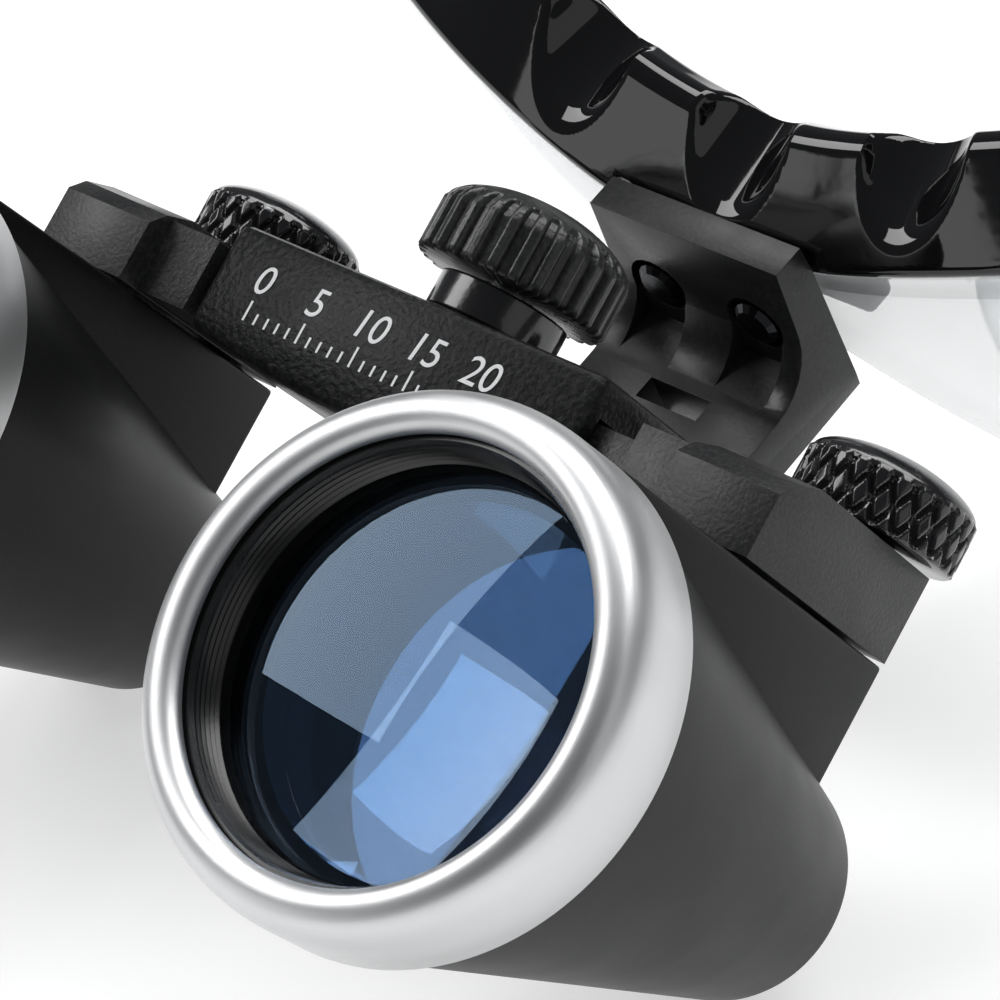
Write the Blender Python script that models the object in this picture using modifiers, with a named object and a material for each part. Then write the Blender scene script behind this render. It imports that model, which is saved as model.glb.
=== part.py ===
"""Flip-up dental loupes on wrap-round spectacles, resting on the bench on the barrels and the lens.

Two drawing frames share one origin.  The loupe frame has X along the carrier bar, Y back towards the
wearer along the optical axes, and Z up along the adjuster knob.  The spectacle frame has Y back along
the temples and Z up the wearer's face.  Both are turned about X into the resting position.
Drawing sizes are millimetres.
"""

import math

import bmesh
import bpy
from mathutils import Matrix, Vector

MM = 0.001

# Resting position
LOUPE_LEAN = math.radians(49.4)     # the raised optical axes point this far above level
FRAME_PITCH = math.radians(20.6)    # the temples rise this far going back
ORIGIN_Y = -53.4                    # drawing origin in the resting frame, mm
ORIGIN_Z = 29.01

# Optics
SCREW_X = 28.0                      # half the distance between the two pivot screws
SCREW_Y = 6.82
AXIS_Z = -22.0                      # height of the optical axes
BEZEL_R = 16.75
BEZEL_REAR = -27.0
APERTURE_R = 13.7
REAR_Y = 13.2
REAR_R = 8.1
CONE_R = 16.2                       # barrel radius just behind the bezel

# Carrier
BLOCK_HALF = 4.13
SEAM_Z = -5.5
BAR_RIGHT = -18.4                   # the bar's ends: the knob sits off its middle
BAR_LEFT = 15.2
BAR_FRONT = -9.0
BAR_REAR = 3.9
BAR_TOP = 2.0
BAR_END_BOTTOM = -6.0
BAR_MID_BOTTOM = -7.4
KNOB_Y = -2.57
PITCH_R = 2.57
TEETH = 16
CLEAR = 0.3
FLIP = Vector((0.0, 20.0, -1.0))    # flip hinge axis, loupe frame

# Spectacles
BROW_R = 82.0
BROW_Y = 21.46                      # front of the brow's lower edge on the centre plane
BROW_END = math.radians(49.5)
SCALLOP_R = 4.2
SCALLOP_STEP = math.radians(11.3)
SCALLOP_TILT = math.radians(12.0)    # the scallops' floors climb towards the back
LENS_R = 90.0
LENS_Y = 23.06                      # front of the lens on the centre plane
LENS_T = 1.8
LENS_DROP = 46.56                   # the lens's lower edge
TEMPLE_X = 64.6
TEMPLE_Y = 57.0
TEMPLE_Z = -1.2

SIDES = (("left", 1.0), ("right", -1.0))    # the wearer's left is +X


def clear_scene():
    for obj in list(bpy.data.objects):
        bpy.data.objects.remove(obj, do_unlink=True)


clear_scene()
PARTS = bpy.data.collections.new("dental_loupes")
CUTTERS = bpy.data.collections.new("cutters")
bpy.context.scene.collection.children.link(PARTS)
bpy.context.scene.collection.children.link(CUTTERS)


# ---------------------------------------------------------------- materials
def material(name, colour, roughness, metallic=0.0, alpha=1.0):
    made = bpy.data.materials.new(name)
    made.use_nodes = True
    shader = made.node_tree.nodes["Principled BSDF"]
    shader.inputs["Base Color"].default_value = (*colour, 1.0)
    shader.inputs["Roughness"].default_value = roughness
    shader.inputs["Metallic"].default_value = metallic
    shader.inputs["Alpha"].default_value = alpha
    return made


SATIN = material("satin_black", (0.018, 0.019, 0.021), 0.42)
GRAIN = material("grained_black", (0.03, 0.032, 0.036), 0.6)
GLOSS = material("gloss_black", (0.008, 0.008, 0.01), 0.08)
METAL = material("satin_aluminium", (0.72, 0.73, 0.75), 0.28, 1.0)
STEEL = material("steel", (0.55, 0.56, 0.58), 0.3, 1.0)
BLACKENED = material("blackened_steel", (0.045, 0.046, 0.05), 0.38, 1.0)
GLASS = material("coated_glass", (0.08, 0.13, 0.24), 0.03, 0.0, 0.6)
CLEARPC = material("clear_polycarbonate", (0.85, 0.87, 0.88), 0.05, 0.0, 0.35)
RUBBER = material("soft_rubber", (0.02, 0.02, 0.022), 0.75)
SILICONE = material("silicone", (0.75, 0.77, 0.78), 0.4, 0.0, 0.7)


# ---------------------------------------------------------------- placing
class Axis:
    """An empty at a drawing point, which pieces and further axes hang on."""

    def __init__(self, name, point=(0, 0, 0), parent=None, pitch=0.0):
        self.point = Vector(point)
        self.empty = bpy.data.objects.new(name, None)
        PARTS.objects.link(self.empty)
        if parent is None:
            self.empty.location = (0, ORIGIN_Y * MM, ORIGIN_Z * MM)
            self.empty.rotation_euler = (pitch, 0, 0)
        else:
            self.empty.parent = parent.empty
            self.empty.location = (self.point - parent.point) * MM

    def place(self, name, mesh, slot=None):
        """Adds an object whose mesh is drawn about this axis's point."""
        mesh.transform(Matrix.Scale(MM, 4) @ Matrix.Translation(-self.point))
        obj = bpy.data.objects.new(name, mesh)
        obj.parent = self.empty
        if slot is None:
            CUTTERS.objects.link(obj)
            obj.hide_render = True
            obj.display_type = "WIRE"
        else:
            PARTS.objects.link(obj)
            mesh.materials.append(slot)
        return obj


def cut(target, tool, operation="DIFFERENCE"):
    step = target.modifiers.new(tool.name, "BOOLEAN")
    step.operation = operation
    step.solver = "EXACT"
    step.object = tool
    return target


def bevel(target, width, segments=2, angle=35.0):
    step = target.modifiers.new("edges", "BEVEL")
    step.width = width * MM
    step.segments = segments
    step.limit_method = "ANGLE"
    step.angle_limit = math.radians(angle)
    return target


# ---------------------------------------------------------------- shapes, in drawing millimetres
def to_mesh(bm, name, smooth=None):
    bmesh.ops.recalc_face_normals(bm, faces=bm.faces)
    mesh = bpy.data.meshes.new(name)
    bm.to_mesh(mesh)
    bm.free()
    if smooth:
        mesh.shade_smooth()
        mesh.set_sharp_from_angle(angle=math.radians(smooth))
    return mesh


def box(name, low, high):
    bm = bmesh.new()
    bmesh.ops.create_cube(bm, size=1.0)
    low, high = Vector(low), Vector(high)
    bmesh.ops.scale(bm, vec=high - low, verts=bm.verts)
    bmesh.ops.translate(bm, vec=(low + high) / 2, verts=bm.verts)
    return to_mesh(bm, name)


def rod(name, start, end, radius, radius_end=None, sides=24):
    """A cylinder, or a cone, between two points."""
    start, end = Vector(start), Vector(end)
    along = end - start
    bm = bmesh.new()
    bmesh.ops.create_cone(bm, cap_ends=True, segments=sides, radius1=radius,
                          radius2=radius if radius_end is None else radius_end, depth=along.length)
    turn = along.to_track_quat("Z", "Y").to_matrix().to_4x4()
    bmesh.ops.transform(bm, matrix=Matrix.Translation((start + end) / 2) @ turn, verts=bm.verts)
    return to_mesh(bm, name, 40)


def turned(name, profile, centre, along="Z", steps=48, closed=False):
    """Turns a profile of (radius, height) points about the named axis through a centre."""
    bm = bmesh.new()
    verts = [bm.verts.new((radius, 0, height)) for radius, height in profile]
    pairs = list(zip(verts, verts[1:])) + ([(verts[-1], verts[0])] if closed else [])
    edges = [bm.edges.new(pair) for pair in pairs]
    bmesh.ops.spin(bm, geom=verts + edges, cent=(0, 0, 0), axis=(0, 0, 1),
                   angle=math.tau, steps=steps, use_merge=True)
    bmesh.ops.remove_doubles(bm, verts=bm.verts, dist=0.0005)
    if along == "Y":
        bmesh.ops.rotate(bm, verts=bm.verts, matrix=Matrix.Rotation(-math.pi / 2, 3, "X"))
    bmesh.ops.translate(bm, vec=centre, verts=bm.verts)
    return to_mesh(bm, name, 35)


def prism(name, outline, low, high, across="X"):
    """An outline of (a, b) points pushed along an axis: (Y, Z) for X, (X, Z) for Y, (X, Y) for Z."""
    order = {"X": lambda a, b: (low, a, b), "Y": lambda a, b: (a, low, b), "Z": lambda a, b: (a, b, low)}
    push = {"X": (high - low, 0, 0), "Y": (0, high - low, 0), "Z": (0, 0, high - low)}
    bm = bmesh.new()
    loop = [bm.verts.new(order[across](a, b)) for a, b in outline]
    edges = [bm.edges.new(pair) for pair in zip(loop, loop[1:] + loop[:1])]
    face = bmesh.ops.edgeloop_fill(bm, edges=edges)["faces"][0]
    pushed = bmesh.ops.extrude_face_region(bm, geom=[face], use_keep_orig=True)["geom"]
    moved = [item for item in pushed if isinstance(item, bmesh.types.BMVert)]
    bmesh.ops.translate(bm, vec=push[across], verts=moved)
    return to_mesh(bm, name)


def arc(centre, radius, start, end, count):
    """Points on a circle between two angles in degrees."""
    for step in range(count + 1):
        angle = math.radians(start + (end - start) * step / count)
        yield centre[0] + radius * math.cos(angle), centre[1] + radius * math.sin(angle)


def joined(name, meshes, axis, slot):
    """One object from several overlapping meshes, by Boolean union."""
    body = axis.place(name, meshes[0], slot)
    for number, mesh in enumerate(meshes[1:]):
        cut(body, axis.place(f"{name}_add_{number}", mesh), "UNION")
    return body


# ---------------------------------------------------------------- axes
loupes = Axis("loupe_frame", pitch=-LOUPE_LEAN)
spectacles = Axis("spectacle_frame", pitch=FRAME_PITCH)
flip = Axis("flip_axis", FLIP, loupes)
knob = Axis("knob_axis", (0, KNOB_Y, 0), flip)
LEAN = LOUPE_LEAN + FRAME_PITCH
# the flip axis drawn in the spectacle frame
FLIP_G = Vector((0, FLIP.y * math.cos(LEAN) + FLIP.z * math.sin(LEAN),
                 -FLIP.y * math.sin(LEAN) + FLIP.z * math.cos(LEAN)))


# ---------------------------------------------------------------- telescopes
def cone_radius(y):
    return REAR_R + (CONE_R - REAR_R) * (REAR_Y - y) / (REAR_Y - BEZEL_REAR)


def telescope(side, sign, axis):
    x = sign * SCREW_X
    centre = (x, 0, AXIS_Z)
    round_r = 1.4
    profile = [(15.2, -32.6), (15.2, BEZEL_REAR + CLEAR), (CONE_R, BEZEL_REAR + CLEAR)]
    profile += [(r, y) for r, y in arc((REAR_R - round_r, REAR_Y - round_r), round_r, 12, 90, 3)]
    profile += [(6.3, REAR_Y), (6.3, 9.0), (5.0, 9.0), (5.0, 7.6), (6.2, 7.6),
                (12.6, -23.6), (14.2, -23.6), (14.2, -32.6)]
    shell = axis.place(f"barrel_{side}", turned("barrel", profile, centre, "Y", 40, True), SATIN)
    wedge = [(BEZEL_REAR + CLEAR + 0.02, SEAM_Z - CLEAR / 2), (9.4, SEAM_Z - CLEAR / 2),
             (9.4, AXIS_Z + cone_radius(9.4) - 1.3),
             (BEZEL_REAR + CLEAR + 0.02, AXIS_Z + cone_radius(BEZEL_REAR) - 1.3)]
    cut(shell, axis.place(f"wedge_{side}", prism("wedge", wedge, x - BLOCK_HALF, x + BLOCK_HALF)), "UNION")
    cut(shell, axis.place(f"pivot_hole_{side}", rod("hole", (x, SCREW_Y, -12.2), (x, SCREW_Y, 0), 2.3)))

    ring = [(APERTURE_R, -33.6), (14.4, -34.1), (15.3, -34.1), (16.1, -33.6), (16.6, -32.7),
            (BEZEL_R, -31.7), (BEZEL_R, BEZEL_REAR), (15.5, BEZEL_REAR), (15.5, -32.9), (APERTURE_R, -32.9)]
    axis.place(f"bezel_{side}", turned("bezel", ring, centre, "Y", 48, True), METAL)

    retainer = [(13.9, -32.4), (13.9, -28.6), (12.5, -28.6), (13.3, -32.4)]
    axis.place(f"retainer_{side}", turned("retainer", retainer, centre, "Y", 36, True), SATIN)
    objective = [(0, -30.2)] + [(r, -30.2 + r * r / 82) for r in (4.0, 8.0, 12.2)]
    objective += [(13.6, -28.2), (13.6, -24.4), (7.0, -25.5), (0, -25.9)]
    axis.place(f"objective_{side}", turned("objective", objective, centre, "Y", 36), GLASS)
    eye_ring = [(6.0, REAR_Y + 0.5), (6.0, 11.3), (4.7, 11.3), (5.2, REAR_Y + 0.5)]
    axis.place(f"eye_ring_{side}", turned("eye_ring", eye_ring, centre, "Y", 28, True), RUBBER)
    eyepiece = [(0, 10.9), (5.9, 10.9), (5.9, 9.3), (3.5, 9.4), (0, 10.0)]
    axis.place(f"eyepiece_{side}", turned("eyepiece", eyepiece, centre, "Y", 28), GLASS)


def thumb_screw(side, sign, axis):
    x = sign * SCREW_X
    profile = [(0, 7.15), (2.6, 6.9), (4.8, 6.15), (6.13, 5.2), (6.13, 1.6), (5.8, 1.3), (2.0, 1.3),
               (2.0, -11.7), (0, -11.7)]
    axis.place(f"thumb_screw_{side}", turned("screw", profile, (x, SCREW_Y, 0), "Z", 28), GLOSS)


# ---------------------------------------------------------------- slides and carrier bar
RACKS = {"left": (BAR_FRONT + 1.5, KNOB_Y - PITCH_R + 0.25), "right": (KNOB_Y + PITCH_R - 0.25, 2.35)}
RACK_LOW, RACK_HIGH = -4.1, -0.9
TOOTH_PITCH = math.tau * PITCH_R / TEETH
TOOTH_H = 0.5


def rack_outline(side, sign):
    """The rail seen from above, with its teeth towards the pinion."""
    front, back = RACKS[side]
    toothed = back if side == "left" else front
    plain = front if side == "left" else back
    inward = 1.0 if side == "left" else -1.0
    root = toothed - inward * TOOTH_H
    start, end = -13.6, 19.6
    points = [(end, plain), (start, plain), (start, root)]
    for number in range(-8, 5):
        middle = number * TOOTH_PITCH
        points += [(middle - 0.24, root), (middle - 0.1, toothed),
                   (middle + 0.1, toothed), (middle + 0.24, root)]
    points.append((end, root))
    return [(sign * a, b) for a, b in points]


def slide_arm(side, sign, axis):
    x = sign * SCREW_X
    block = [(-11.05, SEAM_Z + CLEAR / 2), (-11.05, -0.94), (-9.8, 0.16), (-7.0, 0.94), (9.4, 0.94),
             (9.4, SEAM_Z + CLEAR / 2)]
    body = axis.place(f"slide_arm_{side}", prism("block", block, x - BLOCK_HALF, x + BLOCK_HALF), GRAIN)
    inner, outer = sorted((sign * 19.2, sign * (SCREW_X - BLOCK_HALF + 0.5)))
    arm = box("arm", (inner, BAR_FRONT, -5.3), (outer, 3.4, 0.1))
    cut(body, axis.place(f"arm_{side}", arm), "UNION")
    cut(body, axis.place(f"rack_{side}", prism("rack", rack_outline(side, sign), RACK_LOW, RACK_HIGH, "Z")),
        "UNION")
    cut(body, axis.place(f"arm_hole_{side}", rod("hole", (x, SCREW_Y, -8), (x, SCREW_Y, 3), 2.3)))


def bar_outline():
    """The bar's front view: a level top and a bottom that bows down to the middle."""
    points = [(BAR_RIGHT, BAR_TOP), (BAR_RIGHT, BAR_END_BOTTOM)]
    for step in range(1, 6):
        part = step / 6
        dip = (BAR_MID_BOTTOM - BAR_END_BOTTOM) * math.sin(math.pi * part)
        points.append((BAR_RIGHT + (BAR_LEFT - BAR_RIGHT) * part, BAR_END_BOTTOM + dip))
    return points + [(BAR_LEFT, BAR_END_BOTTOM), (BAR_LEFT, BAR_TOP)]


def carrier_bar():
    housing = flip.place("bar_housing", prism("bar", bar_outline(), BAR_FRONT, BAR_REAR, "Y"), GRAIN)
    bevel(housing, 0.7, 2)
    tongue = [(BAR_REAR - 0.6, -4.4), (14.0, -4.4), (FLIP.y - 1.2, FLIP.z - 3.0)]
    tongue += list(arc((FLIP.y, FLIP.z), 3.0, -80, 90, 8))
    tongue += [(FLIP.y - 3.5, FLIP.z + 2.7), (BAR_REAR - 0.6, 1.3)]
    cut(housing, flip.place("tongue", prism("tongue", tongue, -4.0, 4.0)), "UNION")
    channel = box("channel", (BAR_RIGHT - 2, BAR_FRONT + 1.2, RACK_LOW - CLEAR),
                  (BAR_LEFT + 2, 2.65, RACK_HIGH + CLEAR))
    cut(housing, flip.place("channel", channel))
    bore = rod("bore", (0, KNOB_Y, -5.6), (0, KNOB_Y, 4), 2.1, sides=32)
    cut(housing, flip.place("knob_bore", bore))
    cut(housing, flip.place("pin_bore", rod("pin_bore", (-6, FLIP.y, FLIP.z), (6, FLIP.y, FLIP.z), 1.5)))
    bushing = [(4.75, 4.9), (4.75, BAR_TOP + CLEAR), (2.2, BAR_TOP + CLEAR), (2.2, 4.9)]
    flip.place("knob_bushing", turned("bushing", bushing, (0, KNOB_Y, 0), "Z", 28, True), SATIN)


def pinion_outline():
    """A small gear whose teeth mesh with both racks."""
    points = []
    root = PITCH_R - TOOTH_H + 0.05
    tip = PITCH_R + 0.1
    for number in range(TEETH):
        middle = math.tau * (number + 0.5) / TEETH
        for radius, half in ((root, 0.22), (tip, 0.08), (tip, -0.08), (root, -0.22)):
            angle = middle - half / radius
            points.append((radius * math.cos(angle), KNOB_Y + radius * math.sin(angle)))
    return points


def adjuster():
    gear = prism("pinion", pinion_outline(), -4.05, -1.0, "Z")
    shaft = rod("shaft", (0, KNOB_Y, -5.3), (0, KNOB_Y, 8.0), 1.8, sides=32)
    joined("pinion_shaft", [gear, shaft], knob, STEEL)
    cap = [(0, 12.05), (2.8, 11.8), (5.4, 11.0), (7.06, 9.7), (7.06, 5.5), (6.85, 5.29), (2.1, 5.29),
           (2.1, 8.4), (0, 8.4)]
    knob.place("adjuster_knob", turned("knob", cap, (0, KNOB_Y, 0), "Z", 36), GRAIN)


# ---------------------------------------------------------------- bridge bracket and flip hinge
def bracket():
    """An L-shaped bracket: a plate in the brow's notch and an arm forward to the flip hinge."""
    plate_back, plate_front, plate_top = 22.6, 19.4, -5.4
    arm_top, arm_low, fillet = -16.5, -20.9, 4.6
    side = [(plate_front, plate_top), (plate_front, arm_top + fillet)]
    side += list(arc((plate_front - fillet, arm_top + fillet), fillet, 0, -90, 6))[1:]
    side += [(FLIP_G.y, FLIP_G.z + 2.6)]
    side += list(arc((FLIP_G.y, FLIP_G.z), 3.0, 100, 262, 8))
    side += [(FLIP_G.y + 3.0, arm_low), (23.2, arm_low), (plate_back + 0.6, arm_low + 1.2),
             (plate_back, plate_top - 3.0), (plate_back - 0.4, plate_top)]
    body = spectacles.place("bridge_bracket", prism("bracket", side, -8.6, 8.6), SATIN)
    knuckle = rod("knuckle_gap", (-4.3, FLIP_G.y, FLIP_G.z), (4.3, FLIP_G.y, FLIP_G.z), 3.6)
    cut(body, spectacles.place("knuckle_gap", knuckle))
    swing = box("swing", (-4.3, FLIP_G.y - 5, FLIP_G.z - 5), (4.3, FLIP_G.y + 0.5, FLIP_G.z + 6))
    cut(body, spectacles.place("knuckle_swing", swing))
    bore = rod("pin_bore", (-10, FLIP_G.y, FLIP_G.z), (10, FLIP_G.y, FLIP_G.z), 1.5)
    cut(body, spectacles.place("bracket_pin_bore", bore))
    latch = box("latch", (-2.8, 12.6, -22), (2.8, 14.5, -15))
    cut(body, spectacles.place("latch_slot", latch))
    for label, sign in SIDES:
        x = sign * 4.5
        pocket = rod("pocket", (x, 10.0, -12.4), (x, 20.6, -12.4), 2.5, sides=20)
        cut(body, spectacles.place(f"screw_pocket_{label}", pocket))
        run = box("run", (x - 2.3, 10.0, -16.4), (x + 2.3, 19.6, -12.4))
        cut(body, spectacles.place(f"screw_run_{label}", run))
        hole = rod("hole", (x, 19.0, -12.4), (x, 24.0, -12.4), 1.3, sides=20)
        cut(body, spectacles.place(f"screw_hole_{label}", hole))
        head = [(0, 19.0), (1.4, 19.1), (1.9, 19.5), (1.9, 20.3), (1.0, 20.3), (1.0, 29.2), (0, 29.2)]
        spectacles.place(f"bracket_screw_{label}", turned("screw", head, (x, 0, -12.4), "Y", 16), BLACKENED)
    pin = [(0, -9.3), (1.9, -9.3), (1.9, -8.9), (1.2, -8.9), (1.2, 8.9), (1.9, 8.9), (1.9, 9.3), (0, 9.3)]
    mesh = turned("pin", pin, (0, 0, 0), "Z", 24)
    mesh.transform(Matrix.Translation(FLIP_G) @ Matrix.Rotation(math.pi / 2, 4, "Y"))
    spectacles.place("flip_pin", mesh, STEEL)


# ---------------------------------------------------------------- spectacles
def brow_rise(x):
    """Height of the brow's lower front edge: low over the nose, level above each eye."""
    return -8.9 + 6.2 * (1.0 - math.exp(-((x / 22.0) ** 2)))


def brow():
    section = [(0.25, 0.75), (0.25, 0.15), (2.6, -2.6), (3.4, -2.6), (9.9, 3.9), (9.9, 4.7),
               (7.7, 6.9), (6.8, 6.9)]
    bm = bmesh.new()
    centre = Vector((0, BROW_Y + BROW_R, 0))
    verts = [bm.verts.new((0, BROW_Y + back, up)) for back, up in section]
    edges = [bm.edges.new(pair) for pair in zip(verts, verts[1:] + verts[:1])]
    turn = Matrix.Rotation(-BROW_END, 3, "Z")
    bmesh.ops.rotate(bm, cent=centre, verts=verts, matrix=turn)
    start = bmesh.ops.edgeloop_fill(bm, edges=edges)["faces"]
    bmesh.ops.spin(bm, geom=start, cent=centre, axis=(0, 0, 1), angle=2 * BROW_END, steps=40)
    for vert in bm.verts:
        vert.co.z += brow_rise(vert.co.x)
    body = spectacles.place("brow_frame", to_mesh(bm, "brow", 30), GLOSS)
    for label, sign in SIDES:
        inner, outer = sorted((sign * 40.0, sign * 75.0))
        trim = box("trim", (inner, TEMPLE_Y - 3.7, -20), (outer, TEMPLE_Y + 20, 20))
        cut(body, spectacles.place(f"end_trim_{label}", trim))
        inner, outer = sorted((sign * (TEMPLE_X - 5.6), sign * (TEMPLE_X + 2.3)))
        lug = box("lug", (inner, TEMPLE_Y - 9.5, TEMPLE_Z - 5.2), (outer, TEMPLE_Y - 3.6, TEMPLE_Z + 5.2))
        cut(body, spectacles.place(f"lug_{label}", lug), "UNION")
        for level, height in (("upper", 3.95), ("lower", -3.95)):
            ear = box("ear", (sign * TEMPLE_X - 2.0, TEMPLE_Y - 4.6, TEMPLE_Z + height - 1.25),
                      (sign * TEMPLE_X + 2.0, TEMPLE_Y + 2.0, TEMPLE_Z + height + 1.25))
            cut(body, spectacles.place(f"ear_{level}_{label}", ear), "UNION")
        hole = rod("hole", (sign * TEMPLE_X, TEMPLE_Y, -12), (sign * TEMPLE_X, TEMPLE_Y, 8), 1.0, sides=20)
        cut(body, spectacles.place(f"hinge_hole_{label}", hole))
    notch = [(-10.4, -14), (-10.1, -8.6), (-9.4, -6.9), (-9.0, -5.3), (-8.5, -4.8),
             (8.5, -4.8), (9.0, -5.3), (9.4, -6.9), (10.1, -8.6), (10.4, -14)]
    cut(body, spectacles.place("bracket_notch", prism("notch", notch, 15.0, 23.0, "Y")))
    for label, sign in SIDES:
        relief = rod("relief", (sign * 4.5, 20, -12.4), (sign * 4.5, 32, -12.4), 1.4, sides=20)
        cut(body, spectacles.place(f"screw_relief_{label}", relief))
    for number in range(-3, 4):
        angle = number * SCALLOP_STEP
        out = Vector((math.sin(angle), -math.cos(angle), 0))
        middle = centre + out * (BROW_R - 2.4)
        middle.z = brow_rise(middle.x) + 2.4 + SCALLOP_R
        along = out * math.cos(SCALLOP_TILT) - Vector((0, 0, math.sin(SCALLOP_TILT)))
        start, end = middle + along * 9, middle - along * 14
        cut(body, spectacles.place(f"scallop_{number + 3}", rod("scallop", start, end, SCALLOP_R, sides=20)))


def lens():
    """One wrap-round shield, cut to outline and hollowed over the nose."""
    bm = bmesh.new()
    bmesh.ops.create_grid(bm, x_segments=30, y_segments=8, size=1.0)
    reach, high, low = math.radians(48), -3.0, -51.0
    for vert in bm.verts:
        angle = vert.co.x * reach
        drop = low + (high - low) * (vert.co.y + 1) / 2
        radius = LENS_R - (drop + 6.0) ** 2 / 135.0
        vert.co = Vector((radius * math.sin(angle), LENS_Y + LENS_R - radius * math.cos(angle), drop))
    bmesh.ops.recalc_face_normals(bm, faces=bm.faces)
    bmesh.ops.solidify(bm, geom=bm.faces[:], thickness=-LENS_T)
    body = spectacles.place("shield_lens", to_mesh(bm, "lens", 30), CLEARPC)
    half = [(0.0, -16.2), (3.6, -17.2), (8.1, -21.3), (12.4, -26.1), (16.2, -31.5), (19.6, -38.4),
            (24.0, -44.0), (30.0, -LENS_DROP), (37.0, -LENS_DROP), (44.0, -44.2), (50.0, -38.2), (54.6, -29.2),
            (57.0, -19.0), (57.6, -8.6)]
    top = [(x, brow_rise(x) - 3.3) for x in (57.6, 48, 38, 30, 24, 18, 12, 6, 0)]
    right = half[1:-1] + top[:-1]
    outline = [half[0]] + right + [top[-1]] + [(-a, b) for a, b in reversed(right)]
    cut(body, spectacles.place("lens_outline", prism("outline", outline, 10, 95, "Y")), "INTERSECT")
    for label, sign in SIDES:
        hole = rod("hole", (sign * 4.5, 20, -12.4), (sign * 4.5, 30, -12.4), 1.4, sides=20)
        cut(body, spectacles.place(f"lens_hole_{label}", hole))


def nose_bridge():
    """The block behind the lens that takes the bracket's screws and the nose wires."""
    body = spectacles.place("nose_bridge", box("bridge", (-8.2, 26.7, -17.6), (8.2, 29.5, -10.3)), SATIN)
    bevel(body, 0.6, 2)
    for label, sign in SIDES:
        hole = rod("hole", (sign * 4.5, 25, -12.4), (sign * 4.5, 31, -12.4), 1.3, sides=20)
        cut(body, spectacles.place(f"bridge_hole_{label}", hole))


def nose_rest(side, sign):
    points = [(6.4, 29.85, -13.4), (7.4, 32.6, -14.4), (9.2, 34.6, -17.6), (10.4, 35.0, -20.4)]
    wire = bpy.data.curves.new(f"nose_wire_{side}", "CURVE")
    wire.dimensions = "3D"
    wire.bevel_depth = 0.7 * MM
    wire.bevel_resolution = 2
    wire.use_fill_caps = True
    spline = wire.splines.new("POLY")
    spline.points.add(len(points) - 1)
    for point, (x, y, z) in zip(spline.points, points):
        point.co = (sign * x * MM, y * MM, z * MM, 1)
    wire.materials.append(STEEL)
    obj = bpy.data.objects.new(f"nose_wire_{side}", wire)
    obj.parent = spectacles.empty
    PARTS.objects.link(obj)
    bm = bmesh.new()
    bmesh.ops.create_uvsphere(bm, u_segments=14, v_segments=8, radius=1.0)
    bmesh.ops.scale(bm, vec=(1.7, 4.2, 7.4), verts=bm.verts)
    lean = Matrix.Rotation(sign * math.radians(-20), 3, "Y") @ Matrix.Rotation(sign * math.radians(30), 3, "Z")
    bmesh.ops.rotate(bm, verts=bm.verts, matrix=lean)
    bmesh.ops.translate(bm, vec=(sign * 12.2, 36.6, -28.2), verts=bm.verts)
    spectacles.place(f"nose_pad_{side}", to_mesh(bm, "pad", 60), SILICONE)


def loft(name, rings):
    """Joins rings of points into one closed bar."""
    bm = bmesh.new()
    last = None
    for ring in rings:
        verts = [bm.verts.new(point) for point in ring]
        edges = [bm.edges.new(pair) for pair in zip(verts, verts[1:] + verts[:1])]
        if last is None:
            bmesh.ops.edgeloop_fill(bm, edges=edges)
        else:
            bmesh.ops.bridge_loops(bm, edges=last + edges)
        last = edges
    bmesh.ops.edgeloop_fill(bm, edges=last)
    return to_mesh(bm, name, 40)


def temple_path(sign, part):
    """A point on the temple's middle line, with its direction's slope; part runs from 0 to 1."""
    length, straight, radius = 106.0, 0.66, 34.0
    along = part * length
    bend_from = length * straight
    x = sign * (TEMPLE_X + 1.2 * math.sin(part * math.pi) - 3.0 * part)
    if along <= bend_from:
        return Vector((x, TEMPLE_Y + 3.3 + along, TEMPLE_Z)), 0.0
    angle = (along - bend_from) / radius
    return Vector((x, TEMPLE_Y + 3.3 + bend_from + radius * math.sin(angle),
                   TEMPLE_Z - radius * (1 - math.cos(angle)))), angle


def temple_ring(sign, part, half_width, half_height):
    point, angle = temple_path(sign, part)
    up = Vector((0, math.sin(angle), math.cos(angle)))
    side = Vector((1, 0, 0))
    corners = ((1, 0.55), (0.7, 1), (-0.7, 1), (-1, 0.55), (-1, -0.55), (-0.7, -1), (0.7, -1), (1, -0.55))
    return [point + side * a * half_width + up * b * half_height for a, b in corners]


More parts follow.
